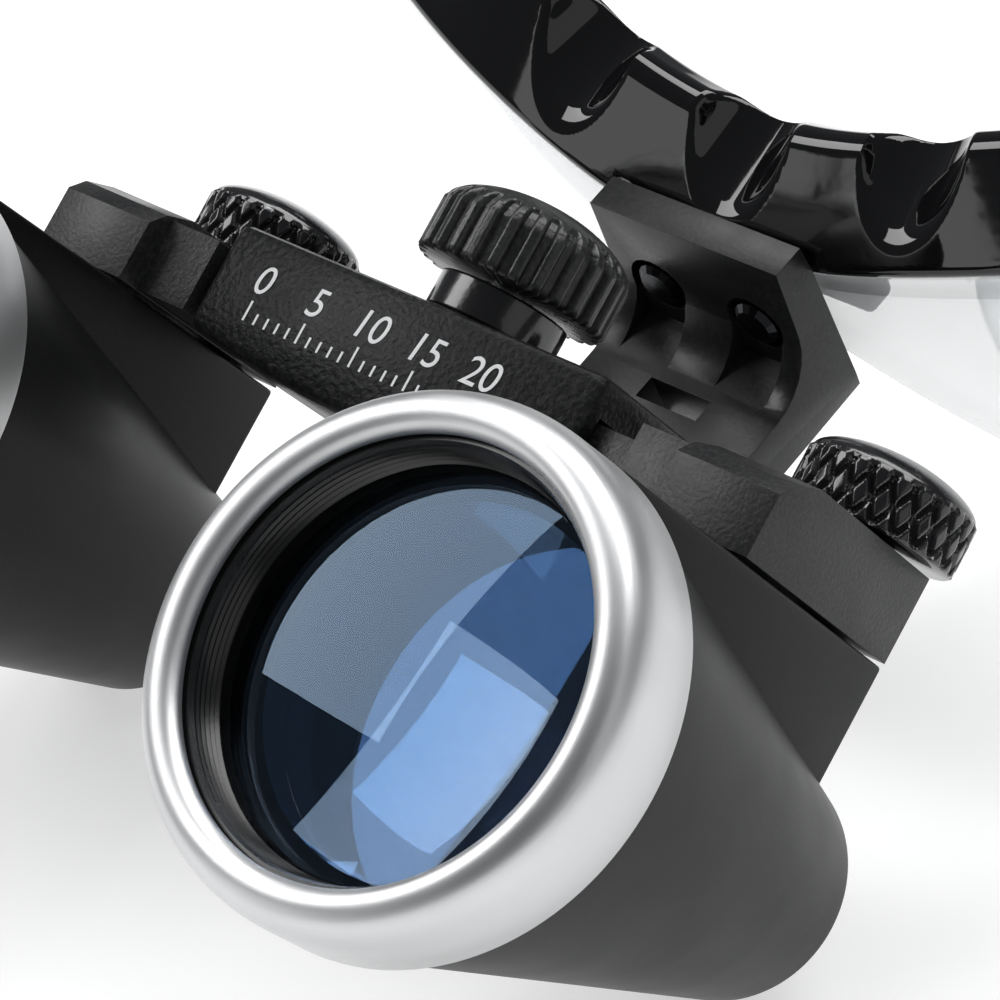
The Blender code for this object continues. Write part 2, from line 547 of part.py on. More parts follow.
def temple(side, sign, axis):
    arm_end = 0.58
    rings = [temple_ring(sign, arm_end * step / 10, 1.6, 4.2 - 1.2 * step / 10) for step in range(11)]
    body = axis.place(f"temple_{side}", loft("temple", rings), GLOSS)
    leaf = rod("leaf", (sign * TEMPLE_X, TEMPLE_Y, TEMPLE_Z - 2.3),
               (sign * TEMPLE_X, TEMPLE_Y, TEMPLE_Z + 2.3), 2.4)
    cut(body, axis.place(f"leaf_{side}", leaf), "UNION")
    neck = box("neck", (sign * TEMPLE_X - 1.6, TEMPLE_Y, TEMPLE_Z - 2.3),
               (sign * TEMPLE_X + 1.6, TEMPLE_Y + 4, TEMPLE_Z + 2.3))
    cut(body, axis.place(f"neck_{side}", neck), "UNION")
    hole = rod("hole", (sign * TEMPLE_X, TEMPLE_Y, -9), (sign * TEMPLE_X, TEMPLE_Y, 6), 1.0)
    cut(body, axis.place(f"temple_hole_{side}", hole))
    start = arm_end + 0.003
    rings = [temple_ring(sign, start + (1 - start) * step / 12, 2.0 + 0.5 * math.sin(math.pi * step / 12),
                         3.2 + 1.0 * math.sin(math.pi * step / 12) - 0.6 * step / 12) for step in range(13)]
    axis.place(f"temple_tip_{side}", loft("tip", rings), RUBBER)
    pin = [(0, TEMPLE_Z + 6.1), (1.6, TEMPLE_Z + 6.1), (1.6, TEMPLE_Z + 5.5), (0.7, TEMPLE_Z + 5.5),
           (0.7, TEMPLE_Z - 5.0), (0, TEMPLE_Z - 5.0)]
    spectacles.place(f"temple_screw_{side}",
                     turned("pin", pin, (sign * TEMPLE_X, TEMPLE_Y, 0), "Z", 16), STEEL)


# ---------------------------------------------------------------- assembly
for SIDE, SIGN in SIDES:
    slide = Axis(f"slide_{SIDE}", (SIGN * SCREW_X, 0, -2.5), flip)
    pivot = Axis(f"pivot_{SIDE}", (SIGN * SCREW_X, SCREW_Y, 0), slide)
    telescope(SIDE, SIGN, pivot)
    thumb_screw(SIDE, SIGN, pivot)
    slide_arm(SIDE, SIGN, slide)
    hinge = Axis(f"temple_axis_{SIDE}", (SIGN * TEMPLE_X, TEMPLE_Y, TEMPLE_Z), spectacles)
    temple(SIDE, SIGN, hinge)
    nose_rest(SIDE, SIGN)
carrier_bar()
adjuster()
bracket()
brow()
lens()
nose_bridge()
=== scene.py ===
"""Flip-up dental loupes on wrap-round spectacles, resting on a pale bench.

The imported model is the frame: every piece here is drawn in millimetres in one of its two drawing
frames, brought into the row frame and hung on the body it moves with.  The loupe frame has X along
the carrier bar, Y back along the optical axes and Z up along the adjuster knob.  The spectacle frame
has Y back along the temples and Z up the wearer's face.
"""

from __future__ import annotations

import logging
import math
from dataclasses import dataclass
from enum import Enum
from typing import Iterable, Sequence

import bmesh
import bpy
from mathutils import Matrix, Vector

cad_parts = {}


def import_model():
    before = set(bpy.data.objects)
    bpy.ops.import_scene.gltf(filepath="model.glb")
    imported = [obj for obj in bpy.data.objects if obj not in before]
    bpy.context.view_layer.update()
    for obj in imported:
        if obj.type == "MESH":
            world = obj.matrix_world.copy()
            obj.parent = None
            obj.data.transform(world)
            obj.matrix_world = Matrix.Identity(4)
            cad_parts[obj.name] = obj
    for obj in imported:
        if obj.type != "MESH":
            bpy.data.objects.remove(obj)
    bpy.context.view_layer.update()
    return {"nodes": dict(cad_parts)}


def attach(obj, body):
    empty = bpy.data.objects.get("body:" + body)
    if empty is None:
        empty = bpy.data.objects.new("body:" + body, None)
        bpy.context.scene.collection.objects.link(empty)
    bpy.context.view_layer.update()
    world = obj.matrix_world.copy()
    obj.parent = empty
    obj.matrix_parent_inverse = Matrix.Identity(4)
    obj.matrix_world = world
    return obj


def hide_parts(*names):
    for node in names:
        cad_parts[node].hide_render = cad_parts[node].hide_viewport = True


LOG = logging.getLogger("dental_loupes")
MM = 0.001
SIDES = (("left", 1.0), ("right", -1.0))
ROW_OFFSET = (0.0, -53.4, 29.01)    # where both drawings have their origin in the row frame, mm
PIVOT_X = 28.0                      # each telescope's pivot screw, from the middle of the bar
PIVOT_Y = 6.82
Point2 = tuple[float, float]


class Drawing(Enum):
    """The two drawing frames, by how far each is pitched about X in the resting position."""

    LOUPES = -49.4
    SPECTACLES = 20.6

    def matrix(self) -> Matrix:
        """Returns the matrix from this frame's millimetres to the row frame's metres."""
        turn = Matrix.Rotation(math.radians(self.value), 4, "X")
        return Matrix.Scale(MM, 4) @ Matrix.Translation(ROW_OFFSET) @ turn


# ---------------------------------------------------------------- finishes
@dataclass(frozen=True)
class Finish:
    """A moulded, painted or turned surface with its grain, colour drift and uneven gloss."""

    name: str
    slot: str
    colour: tuple[float, float, float]
    roughness: float
    metallic: float = 0.0
    grain: float = 0.3          # width of one grain, mm
    relief: float = 0.01        # height of the grain, mm
    fleck: float = 0.0          # how much lighter the grain's peaks are
    drift: float = 0.06         # spread of the gloss over a few millimetres
    coat: float = 0.0
    specular: float = 0.5

    def build(self) -> bpy.types.Material:
        """Returns the material, made once and then shared."""
        made = bpy.data.materials.get(self.name)
        if made:
            return made
        made = bpy.data.materials.new(self.name)
        made.use_nodes = True
        nodes, links = made.node_tree.nodes, made.node_tree.links
        shader = nodes["Principled BSDF"]
        shader.inputs["Metallic"].default_value = self.metallic
        shader.inputs["Specular IOR Level"].default_value = self.specular
        shader.inputs["Coat Weight"].default_value = self.coat
        shader.inputs["Coat Roughness"].default_value = 0.04
        place = nodes.new("ShaderNodeTexCoord")
        fine = nodes.new("ShaderNodeTexNoise")
        fine.inputs["Scale"].default_value = 1000.0 / self.grain
        fine.inputs["Detail"].default_value = 3.0
        wide = nodes.new("ShaderNodeTexNoise")
        wide.inputs["Scale"].default_value = 160.0
        wide.inputs["Detail"].default_value = 4.0
        links.new(place.outputs["Object"], fine.inputs["Vector"])
        links.new(place.outputs["Object"], wide.inputs["Vector"])
        gloss = nodes.new("ShaderNodeMapRange")
        gloss.inputs["From Min"].default_value = 0.3
        gloss.inputs["From Max"].default_value = 0.7
        gloss.inputs["To Min"].default_value = max(0.0, self.roughness - self.drift)
        gloss.inputs["To Max"].default_value = min(1.0, self.roughness + self.drift)
        links.new(wide.outputs["Fac"], gloss.inputs["Value"])
        links.new(gloss.outputs["Result"], shader.inputs["Roughness"])
        ramp = nodes.new("ShaderNodeValToRGB")
        ramp.color_ramp.elements[0].position = 0.42
        ramp.color_ramp.elements[0].color = (*self.colour, 1.0)
        ramp.color_ramp.elements[1].position = 0.68
        ramp.color_ramp.elements[1].color = (*(min(1.0, c + self.fleck) for c in self.colour), 1.0)
        links.new(fine.outputs["Fac"], ramp.inputs["Fac"])
        links.new(ramp.outputs["Color"], shader.inputs["Base Color"])
        bump = nodes.new("ShaderNodeBump")
        bump.inputs["Strength"].default_value = 1.0
        bump.inputs["Distance"].default_value = self.relief * MM
        links.new(fine.outputs["Fac"], bump.inputs["Height"])
        links.new(bump.outputs["Normal"], shader.inputs["Normal"])
        return made


@dataclass(frozen=True)
class ClearFinish:
    """Glass or clear plastic, with faint ripples and the tint of its surface reflection."""

    name: str
    slot: str
    colour: tuple[float, float, float]
    ior: float
    tint: tuple[float, float, float] = (1.0, 1.0, 1.0)
    specular: float = 0.5
    roughness: float = 0.0
    ripple: float = 0.0006

    def build(self) -> bpy.types.Material:
        """Returns the material, made once and then shared."""
        made = bpy.data.materials.get(self.name)
        if made:
            return made
        made = bpy.data.materials.new(self.name)
        made.use_nodes = True
        nodes, links = made.node_tree.nodes, made.node_tree.links
        shader = nodes["Principled BSDF"]
        shader.inputs["Roughness"].default_value = self.roughness
        shader.inputs["IOR"].default_value = self.ior
        shader.inputs["Transmission Weight"].default_value = 1.0
        shader.inputs["Specular IOR Level"].default_value = self.specular
        shader.inputs["Specular Tint"].default_value = (*self.tint, 1.0)
        place = nodes.new("ShaderNodeTexCoord")
        wave = nodes.new("ShaderNodeTexNoise")
        wave.inputs["Scale"].default_value = 90.0
        wave.inputs["Detail"].default_value = 1.0
        links.new(place.outputs["Object"], wave.inputs["Vector"])
        ramp = nodes.new("ShaderNodeValToRGB")
        ramp.color_ramp.elements[0].color = (*(c * 0.985 for c in self.colour), 1.0)
        ramp.color_ramp.elements[1].color = (*self.colour, 1.0)
        links.new(wave.outputs["Fac"], ramp.inputs["Fac"])
        links.new(ramp.outputs["Color"], shader.inputs["Base Color"])
        bump = nodes.new("ShaderNodeBump")
        bump.inputs["Distance"].default_value = self.ripple * MM
        links.new(wave.outputs["Fac"], bump.inputs["Height"])
        links.new(bump.outputs["Normal"], shader.inputs["Normal"])
        return made


SATIN = Finish("satin_black_paint", "satin_black", (0.006, 0.0062, 0.0065), 0.36, grain=0.22,
               relief=0.0035, fleck=0.003, drift=0.03, specular=0.12)
MOULDED = Finish("moulded_black", "satin_black", (0.01, 0.0103, 0.0108), 0.33, grain=0.35,
                 relief=0.012, fleck=0.008, drift=0.1, specular=0.3)
SPARK = Finish("spark_grained_black", "grained_black", (0.006, 0.0063, 0.0068), 0.36, grain=0.42,
               relief=0.08, fleck=0.01, drift=0.06, specular=0.12)
FINE_GRAIN = Finish("fine_grained_black", "grained_black", (0.01, 0.0103, 0.0108), 0.38, grain=0.3,
                    relief=0.035, fleck=0.014, drift=0.09, specular=0.3)
KNOB_BLACK = Finish("knob_black", "grained_black", (0.012, 0.0125, 0.013), 0.33, grain=0.4,
                    relief=0.05, fleck=0.014, drift=0.08)
GLOSS = Finish("piano_black", "gloss_black", (0.004, 0.004, 0.0045), 0.045, grain=6.0, relief=0.02,
               drift=0.02, coat=0.15)
KNURL_BLACK = Finish("knurl_black", "gloss_black", (0.008, 0.008, 0.009), 0.2, grain=0.5, relief=0.02,
                     drift=0.08, coat=0.5)
RIM = Finish("rolled_aluminium", "satin_aluminium", (0.64, 0.645, 0.65), 0.42, 1.0, grain=0.16,
             relief=0.006, drift=0.04)
STEEL = Finish("turned_steel", "steel", (0.55, 0.56, 0.58), 0.28, 1.0, grain=0.2, relief=0.003)
BLACKED = Finish("black_oxide", "blackened_steel", (0.03, 0.031, 0.034), 0.3, 1.0, grain=0.2,
                 relief=0.004)
BORE = Finish("bore_black", "satin_black", (0.006, 0.0065, 0.007), 0.24, grain=0.3, relief=0.004)
RUBBER = Finish("soft_rubber", "soft_rubber", (0.012, 0.012, 0.0125), 0.62, grain=0.25, relief=0.02,
                fleck=0.01)
PAINT = Finish("white_marking", "grained_black", (0.72, 0.73, 0.74), 0.5, grain=0.4, relief=0.03)
COATED = ClearFinish("coated_objective", "coated_glass", (0.93, 0.96, 1.0), 1.52,
                     tint=(0.46, 0.69, 1.0), specular=0.55)
INNER = ClearFinish("inner_element", "coated_glass", (0.6, 0.7, 0.9), 1.62,
                    tint=(0.2, 0.5, 1.0), specular=0.5)
# The grey colour is painted shade: the real lens is clear, and the grey darkens it to stand in for the
# shade seen in it under the brow.
SHADE_TINTED_POLYCARBONATE = ClearFinish("clear_polycarbonate", "clear_polycarbonate", (0.3, 0.304, 0.312), 1.5,
                            specular=0.25)
SILICONE = ClearFinish("clear_silicone", "silicone", (0.86, 0.88, 0.9), 1.41, roughness=0.25,
                       ripple=0.01)

KEPT_NODES = ((("bracket_screw",), BLACKED),
              (("flip_pin", "nose_wire", "temple_screw", "pinion_shaft"), STEEL))


# ---------------------------------------------------------------- mesh making
def rounded(outline: Sequence[Point2], radius: float, count: int = 4, closed: bool = True) -> list[Point2]:
    """Rounds the corners of an outline.

    Args:
        outline: Corner points in order.
        radius: Fillet radius; a short side uses less.
        count: Segments in each fillet.
        closed: False for an open line, whose two ends stay.

    Returns:
        The points of the rounded outline.
    """
    points = [Vector(p) for p in outline]
    made: list[Point2] = []
    for number, corner in enumerate(points):
        if not closed and number in (0, len(points) - 1):
            made.append(tuple(corner))
            continue
        before, after = points[number - 1], points[(number + 1) % len(points)]
        reach = min(radius, (before - corner).length * 0.48, (after - corner).length * 0.48)
        start = corner + (before - corner).normalized() * reach
        end = corner + (after - corner).normalized() * reach
        for step in range(count + 1):
            t = step / count
            point = start * (1 - t) ** 2 + corner * 2 * t * (1 - t) + end * t * t
            made.append((point.x, point.y))
    return made


def dense(outline: Sequence[Point2], spacing: float, closed: bool = False) -> list[Point2]:
    """Divides the long sides of an outline.

    Args:
        outline: Points in order.
        spacing: The longest step that is left.
        closed: True if the last point joins the first.

    Returns:
        The points of the divided outline.
    """
    made: list[Point2] = []
    pairs = list(zip(outline, outline[1:]))
    if closed:
        pairs.append((outline[-1], outline[0]))
    for (a, b), (c, d) in pairs:
        count = max(1, math.ceil(math.hypot(c - a, d - b) / spacing))
        made += [(a + (c - a) * step / count, b + (d - b) * step / count) for step in range(count)]
    return made if closed else made + [outline[-1]]


def lathe(profile: Sequence[Point2], steps: int, centre: Sequence[float], along_y: bool = False,
          closed: bool = False) -> bmesh.types.BMesh:
    """Turns a profile about Z, or about Y, through a centre.

    Args:
        profile: Points of radius and height.
        steps: Number of steps round.
        centre: Where the axis passes, in drawing millimetres.
        along_y: True if the axis lies along Y.
        closed: True if the profile is a closed ring that stays off the axis.

    Returns:
        The turned solid.
    """
    bm = bmesh.new()
    verts = [bm.verts.new((radius, 0.0, height)) for radius, height in profile]
    pairs = list(zip(verts, verts[1:])) + ([(verts[-1], verts[0])] if closed else [])
    edges = [bm.edges.new(pair) for pair in pairs]
    bmesh.ops.spin(bm, geom=verts + edges, cent=(0, 0, 0), axis=(0, 0, 1), angle=math.tau,
                   steps=steps, use_merge=True)
    bmesh.ops.remove_doubles(bm, verts=bm.verts, dist=0.0005)
    if along_y:
        bmesh.ops.rotate(bm, verts=bm.verts, matrix=Matrix.Rotation(-math.pi / 2, 3, "X"))
    bmesh.ops.translate(bm, vec=centre, verts=bm.verts)
    return bm


def slab(outline: Sequence[Point2], low: float, high: float) -> bmesh.types.BMesh:
    """Pushes an outline along X.

    Args:
        outline: Points of Y and Z.
        low: Where it starts along X.
        high: Where it ends along X.

    Returns:
        The solid.
    """
    bm = bmesh.new()
    loop = [bm.verts.new((low, y, z)) for y, z in outline]
    edges = [bm.edges.new(pair) for pair in zip(loop, loop[1:] + loop[:1])]
    face = bmesh.ops.edgeloop_fill(bm, edges=edges)["faces"][0]
    pushed = bmesh.ops.extrude_face_region(bm, geom=[face], use_keep_orig=True)["geom"]
    moved = [item for item in pushed if isinstance(item, bmesh.types.BMVert)]
    bmesh.ops.translate(bm, vec=(high - low, 0, 0), verts=moved)
    bmesh.ops.recalc_face_normals(bm, faces=bm.faces)
    return bm


def block(low: Sequence[float], high: Sequence[float], edge: float) -> bmesh.types.BMesh:
    """Makes a box with rounded edges.

    Args:
        low: The corner with the least X, Y and Z.
        high: The opposite corner.
        edge: Width of the rounding.

    Returns:
        The box.
    """
    bm = bmesh.new()
    bmesh.ops.create_cube(bm, size=1.0)
    bmesh.ops.scale(bm, vec=Vector(high) - Vector(low), verts=bm.verts)
    bmesh.ops.translate(bm, vec=(Vector(high) + Vector(low)) / 2, verts=bm.verts)
    bmesh.ops.bevel(bm, geom=bm.edges[:], offset=edge, segments=4, profile=0.5, affect="EDGES",
                    material=-1)
    return bm


def soften(bm: bmesh.types.BMesh, width: float, angle: float = 30.0, segments: int = 3) -> None:
    """Bevels the sharp edges of a mesh.

    Args:
        bm: The mesh, changed in place.
        width: Width of the bevel.
        angle: Edges that turn by more than this, in degrees, are bevelled.
        segments: Steps across the bevel.
    """
    sharp = [edge for edge in bm.edges
             if len(edge.link_faces) == 2 and edge.calc_face_angle(0.0) > math.radians(angle)]
    bmesh.ops.bevel(bm, geom=sharp, offset=width, offset_type="OFFSET", segments=segments,
                    profile=0.5, affect="EDGES", material=-1, clamp_overlap=True)


def merge_in(bm: bmesh.types.BMesh, other: bmesh.types.BMesh) -> None:
    """Adds one mesh's faces to another.

    Args:
        bm: The mesh that grows.
        other: The mesh that is added, freed here.
    """
    carrier = bpy.data.meshes.new("carrier")
    other.to_mesh(carrier)
    other.free()
    bm.from_mesh(carrier)
    bpy.data.meshes.remove(carrier)


def sweep(rings: Iterable[Sequence[Vector]]) -> bmesh.types.BMesh:
    """Joins rings of points into one closed bar.

    Args:
        rings: Rings with the same number of points, from one end to the other.

    Returns:
        The bar.
    """
    bm = bmesh.new()
    last: list[bmesh.types.BMEdge] = []
    for ring in rings:
        verts = [bm.verts.new(point) for point in ring]
        edges = [bm.edges.new(pair) for pair in zip(verts, verts[1:] + verts[:1])]
        if last:
            bmesh.ops.bridge_loops(bm, edges=last + edges)
        else:
            bmesh.ops.edgeloop_fill(bm, edges=edges)
        last = edges
    bmesh.ops.edgeloop_fill(bm, edges=last)
    return bm


def add_piece(name: str, bm: bmesh.types.BMesh, drawing: Drawing | None, finish: Finish | ClearFinish,
              body: str, stands_for: Sequence[str] = (), crease: float = 35.0) -> bpy.types.Object:
    """Makes a finished piece from a bmesh and hangs it on its body.

    Args:
        name: The piece's name.
        bm: Its mesh, freed here.
        drawing: The frame it is drawn in, or None if it is already in the row frame.
        finish: Its surface.
        body: The body it moves with.
        stands_for: The plain nodes that it takes the place of.
        crease: Edges sharper than this, in degrees, stay sharp.

    Returns:
        The piece.
    """
    if drawing is not None:
        bmesh.ops.transform(bm, matrix=drawing.matrix(), verts=bm.verts)
    bmesh.ops.recalc_face_normals(bm, faces=bm.faces)
    mesh = bpy.data.meshes.new(name)
    bm.to_mesh(mesh)
    bm.free()
    mesh.shade_smooth()
    mesh.set_sharp_from_angle(angle=math.radians(crease))
    mesh.materials.append(finish.build())
    piece = bpy.data.objects.new(name, mesh)
    bpy.context.scene.collection.objects.link(piece)
    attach(piece, body)
    if stands_for:
        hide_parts(*stands_for)
    LOG.info("%s: %d faces on %s", name, len(mesh.polygons), body)
    return piece


def refine_node(nodes: dict[str, bpy.types.Object], node: str, edge: float, finish: Finish,
                body: str) -> bpy.types.Object:
    """Makes a piece from a copy of a plain node's shape, with its edges rounded.

    Args:
        nodes: The frame's nodes.
        node: The node whose shape is used.
        edge: Width of the rounding, mm.
        finish: Its surface.
        body: The body it moves with.

    Returns:
        The piece.
    """
    bm = bmesh.new()
    bm.from_mesh(nodes[node].data)
    bmesh.ops.remove_doubles(bm, verts=bm.verts, dist=1e-6)
    bmesh.ops.dissolve_limit(bm, angle_limit=math.radians(1.0), verts=bm.verts, edges=bm.edges)
    soften(bm, edge * MM, 25.0, 3)
    bmesh.ops.triangulate(bm, faces=[face for face in bm.faces if len(face.verts) > 4])
    return add_piece(f"{node}_finished", bm, None, finish, body, [node])


# ---------------------------------------------------------------- telescopes
@dataclass
class Telescope:
    """One tapered telescope: painted shell, rolled metal rim, ridged bore and two lenses."""

    side: str
    sign: float
    screw_x: float = PIVOT_X
    axis_z: float = -22.0
    rim_r: float = 16.75
    cone_r: float = 16.2
    rear_r: float = 8.1
    rim_rear: float = -27.0
    rear: float = 12.8

    @property
    def centre(self) -> tuple[float, float, float]:
        """The point where the optical axis crosses the drawing's cross plane."""
        return (self.sign * self.screw_x, 0.0, self.axis_z)

    def radius_at(self, y: float) -> float:
        """Returns the shell's outer radius at a place along the axis."""
        return self.rear_r + (self.cone_r - self.rear_r) * (self.rear - y) / (self.rear - self.rim_rear)

    def shell(self) -> None:
        """Builds the painted shell and its wedge."""
        outside = [(15.25, -32.4), (15.25, self.rim_rear + 0.25), (self.cone_r, self.rim_rear + 0.25),
                   (self.rear_r, self.rear - 0.2), (6.3, self.rear - 0.2), (6.3, 9.2), (5.2, 9.2),
                   (5.2, 7.6), (6.2, 7.6), (12.5, -23.6), (14.2, -23.6), (14.2, -32.4)]
        profile = rounded(outside[:4], 0.35, 3, closed=False)[:-1]
        profile += rounded([outside[2], (self.rear_r, self.rear), (6.3, self.rear)], 1.9, 8,
                           closed=False)[1:]
        profile += [(6.3, 9.2), (5.2, 9.2), (5.2, 7.6), (6.2, 7.6)]
        for number in range(9):
            y = 6.0 - number * 3.2
            r = 6.2 + (12.5 - 6.2) * (7.6 - y) / 31.2
            profile += [(r, y), (r - 0.5, y - 0.6)]
        profile += [(12.5, -23.6), (14.2, -23.6), (14.2, -32.4)]
        bm = lathe(profile, 120, self.centre, True, True)
        x = self.sign * self.screw_x
        front, back, top = self.rim_rear + 0.34, 9.4, -5.65
        side = [(front, top), (back, top), (back, self.axis_z + self.radius_at(back) - 1.3),
                (front, self.axis_z + self.radius_at(front) - 1.3)]
        wedge = slab(side, x - 4.13, x + 4.13)
        soften(wedge, 0.28, 30.0, 3)
        merge_in(bm, wedge)
        add_piece(f"shell_{self.side}", bm, Drawing.LOUPES, SATIN, f"scope_{self.side}",
                  [f"barrel_{self.side}"], 50.0)

    def rim(self) -> None:
        """Builds the metal rim: a rolled front lip and a matt band behind it."""
        line = [(13.72, -32.95), (13.7, -33.45), (14.15, -34.05), (15.05, -34.22), (15.95, -33.85),
                (16.5, -33.0), (16.72, -32.0), (16.76, -31.2)]
        front = rounded(line, 0.6, 4, closed=False)
        profile = front + [(16.75, -27.25), (16.6, -27.02), (15.55, -27.02), (15.55, -32.95)]
        bm = lathe(profile, 160, self.centre, True, True)
        add_piece(f"rim_{self.side}", bm, Drawing.LOUPES, RIM, f"scope_{self.side}",
                  [f"bezel_{self.side}"], 40.0)

    def bore(self) -> None:
        """Builds the black retaining tube with its fine ridges."""
        profile = [(13.95, -32.7), (13.95, -28.7), (12.55, -28.7)]
        for number in range(9):
            y = -28.9 - number * 0.4
            profile += [(12.75 + number * 0.07, y), (12.6 + number * 0.085, y - 0.2)]
        profile += [(13.45, -32.7)]
        bm = lathe(profile, 120, self.centre, True, True)
        add_piece(f"bore_{self.side}", bm, Drawing.LOUPES, BORE, f"scope_{self.side}",
                  [f"retainer_{self.side}"], 30.0)

    def glass(self) -> None:
        """Builds the coated front lens, the element behind it, the eye lens and its ring."""
        front = [(12.9 * n / 20, -31.3 + (12.9 * n / 20) ** 2 / 140) for n in range(21)]
        back = [(13.5 * n / 20, -25.9 - (13.5 * n / 20) ** 2 / 260) for n in range(20, -1, -1)]
        bm = lathe(front + [(13.5, -28.4)] + back, 96, self.centre, True)
        add_piece(f"front_lens_{self.side}", bm, Drawing.LOUPES, COATED, f"scope_{self.side}",
                  [f"objective_{self.side}"], 60.0)
        near = [(11.3 * n / 20, -24.0 - (11.3 * n / 20) ** 2 / 100) for n in range(21)]
        far = [(11.4 * n / 20, -20.6) for n in range(20, -1, -1)]
        bm = lathe(near + far, 96, self.centre, True)
        add_piece(f"inner_lens_{self.side}", bm, Drawing.LOUPES, INNER, f"scope_{self.side}",
                  (), 60.0)
        eye = [(0.0, 10.95), (3.0, 10.85), (5.85, 10.5), (5.85, 9.4), (3.0, 9.5), (0.0, 9.9)]
        bm = lathe(dense(eye, 0.5), 72, self.centre, True)
        add_piece(f"eye_lens_{self.side}", bm, Drawing.LOUPES, COATED, f"scope_{self.side}",
                  [f"eyepiece_{self.side}"], 60.0)
        ring = rounded([(6.0, self.rear + 0.5), (6.0, 11.3), (4.7, 11.3), (5.2, self.rear + 0.5)], 0.25)
        bm = lathe(ring, 72, self.centre, True, True)
        add_piece(f"eye_cup_{self.side}", bm, Drawing.LOUPES, RUBBER, f"scope_{self.side}",
                  [f"eye_ring_{self.side}"], 60.0)

    def build(self) -> None:
        """Builds every piece of the telescope."""
        self.shell()
        self.rim()
        self.bore()
        self.glass()


# ---------------------------------------------------------------- screws and knobs
@dataclass
class ThumbScrew:
    """A domed thumb screw with a diamond knurl."""

    side: str
    sign: float
    head_r: float = 6.13
    low: float = 1.4
    high: float = 5.3
    crown: float = 7.15
    starts: int = 24
    climb: float = 0.3          # pitches of the knurl that a groove turns through in 1 mm of height
    depth: float = 0.46

    def knurl(self, co: Vector, x: float, y: float) -> None:
        """Presses the knurl's crossing grooves into one point of the rim.

        Args:
            co: The point, moved in place.
            x: Where the screw's axis is along X.
            y: Where the screw's axis is along Y.
        """
        offset = Vector((co.x - x, co.y - y))
        radius = offset.length
        if radius < self.head_r - 0.12 or not self.low < co.z < self.high:
            return
        turn = math.atan2(offset.y, offset.x) / math.tau * self.starts
        climb = (co.z - self.low) * self.climb
        wave = [abs((turn + way * climb) % 1.0 - 0.5) * 2.0 for way in (1.0, -1.0)]
        groove = max(0.0, 1.0 - min(1.0 - wave[0], 1.0 - wave[1]) / 0.42)
        edge = min(1.0, (co.z - self.low) / 0.35, (self.high - co.z) / 0.35)
        scale = 1.0 - self.depth * groove * edge / radius
        co.x, co.y = x + offset.x * scale, y + offset.y * scale

    def build(self) -> None:
        """Builds the screw."""
        x, y = self.sign * PIVOT_X, PIVOT_Y
        dome = [(self.head_r * 0.965 * math.sin(t), self.high + (self.crown - self.high)
                 * (math.cos(t) ** 1.2)) for t in (math.pi / 2 * n / 14 for n in range(15))]
        side = [(self.head_r, self.high - 0.22), (self.head_r, self.low + 0.2), (5.9, self.low)]
        profile = dome + dense(side, 0.13) + [(2.0, self.low), (2.0, -11.7), (0.0, -11.7)]
        bm = lathe(profile, 312, (x, y, 0.0))
        for vert in bm.verts:
            self.knurl(vert.co, x, y)
        add_piece(f"knurled_screw_{self.side}", bm, Drawing.LOUPES, KNURL_BLACK,
                  f"screw_{self.side}", [f"thumb_screw_{self.side}"], 50.0)


@dataclass
class CentreKnob:
    """The fluted adjuster knob on its collar."""

    y: float = -2.57
    radius: float = 7.06
    low: float = 5.4
    high: float = 9.6
    crown: float = 12.0
    flutes: int = 26
    depth: float = 0.5
    reach: float = 1.1          # how far the flutes run in over the shoulder

    def flute(self, co: Vector) -> None:
        """Presses the flutes into one point of the knob's side and shoulder.

        Args:
            co: The point, moved in place.
        """
        offset = Vector((co.x, co.y - self.y))
        radius = offset.length
        if radius < self.radius - self.reach or co.z > self.high + 1.2:
            return
        phase = math.atan2(offset.y, offset.x) / math.tau * self.flutes % 1.0
        land = min(1.0, max(0.0, (abs(phase - 0.5) * 2.0 - 0.36) / 0.22))
        fade = min(1.0, (radius - self.radius + self.reach) / 0.5)
        groove = (1.0 - land * land * (3 - 2 * land)) * fade
        scale = 1.0 - self.depth * groove / radius
        co.x, co.y = offset.x * scale, self.y + offset.y * scale

    def build(self) -> None:
        """Builds the knob and its collar."""
        dome = [(self.radius * 0.97 * math.sin(t), self.high + (self.crown - self.high)
                 * (math.cos(t) ** 1.25)) for t in (math.pi / 2 * n / 22 for n in range(23))]
        side = [(self.radius, self.high - 0.3), (self.radius, self.low + 0.25),
                (self.radius - 0.25, self.low), (2.1, self.low)]
        profile = dome + dense(side[:3], 0.4) + [side[3], (2.1, 8.4), (0.0, 8.4)]
        bm = lathe(profile, 312, (0.0, self.y, 0.0))
        for vert in bm.verts:
            self.flute(vert.co)
        add_piece("fluted_knob", bm, Drawing.LOUPES, KNOB_BLACK, "adjuster", ["adjuster_knob"], 50.0)
        collar = rounded([(4.75, 4.95), (4.75, 2.3), (2.2, 2.3), (2.2, 4.95)], 0.2)
        bm = lathe(collar, 96, (0.0, self.y, 0.0), False, True)
        add_piece("knob_collar", bm, Drawing.LOUPES, KNURL_BLACK, "carrier", ["knob_bushing"])


